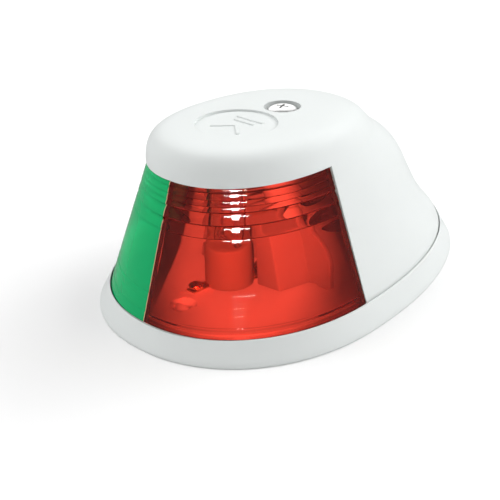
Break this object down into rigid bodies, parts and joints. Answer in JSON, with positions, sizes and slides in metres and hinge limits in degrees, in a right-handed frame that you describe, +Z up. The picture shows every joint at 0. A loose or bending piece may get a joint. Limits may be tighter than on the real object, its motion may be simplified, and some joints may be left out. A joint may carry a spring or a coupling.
{
  "type": "navigation light",
  "caption": "Deck-mounted bi-colour bow light: egg-shaped white base and cover, red and green wrap-round lens, one cover screw, wedge lamp in a holder.",
  "frame": {"origin": "middle of the footprint on the deck", "axes": "+Z up from the deck, -Y towards the bow, +X to port (the red side)"},
  "size_m": [0.0804, 0.1142, 0.0485],
  "materials": {
    "white_plastic": "satin moulded",
    "white_inner_plastic": "matte moulded",
    "red_lens": "clear tinted, ribbed inside",
    "green_lens": "clear tinted, ribbed inside",
    "lamp_glass": "clear",
    "stainless_steel": "bright",
    "brass": "bright",
    "tungsten": "drawn wire",
    "black_rubber": "matte",
    "cream_nylon": "matte moulded"
  },
  "bodies": {
    "base": {"base_plate": "white_plastic", "mounting_gasket": "black_rubber", "rim_seal": "black_rubber", "wire_grommet": "black_rubber", "threaded_insert": "brass", "light_screen": "white_inner_plastic", "screen_screw_port": "stainless_steel", "screen_screw_starboard": "stainless_steel", "lamp_holder": "cream_nylon", "contact_port": "brass", "contact_starboard": "brass", "terminal_screw_port": "brass", "terminal_screw_starboard": "brass"},
    "lens": {"lens_port_red": "red_lens", "lens_starboard_green": "green_lens"},
    "cover": {"cover": "white_plastic"},
    "washer": {"sealing_washer": "black_rubber"},
    "screw": {"cover_screw": "stainless_steel"},
    "lamp": {"lamp_glass": "lamp_glass", "lamp_filament": "tungsten", "lamp_lead_port": "stainless_steel", "lamp_lead_starboard": "stainless_steel"}
  },
  "joints": [
    {"name": "cover_lift", "type": "slide", "parent": "base", "child": "cover", "axis": [0, 0, 1], "range_m": [0, 0.09]},
    {"name": "lens_lift", "type": "slide", "parent": "base", "child": "lens", "axis": [0, 0, 1], "range_m": [0, 0.045]},
    {"name": "screw_rise", "type": "slide", "parent": "cover", "child": "washer", "axis": [0, 0, 1], "range_m": [0, 0.00635]},
    {"name": "screw_turn", "type": "hinge", "parent": "washer", "child": "screw", "pos_m": [0, -0.0012, 0.0457], "axis": [0, 0, 1], "range_deg": [0, 2880]},
    {"name": "lamp_pull", "type": "slide", "parent": "base", "child": "lamp", "axis": [0, 0, 1], "range_m": [0, 0.01]}
  ],
  "couplings": [
    {"joint": "lens_lift", "follows": "cover_lift", "ratio": 0.5},
    {"joint": "screw_turn", "follows": "screw_rise", "rad_per_m": 7913.3}
  ]
}
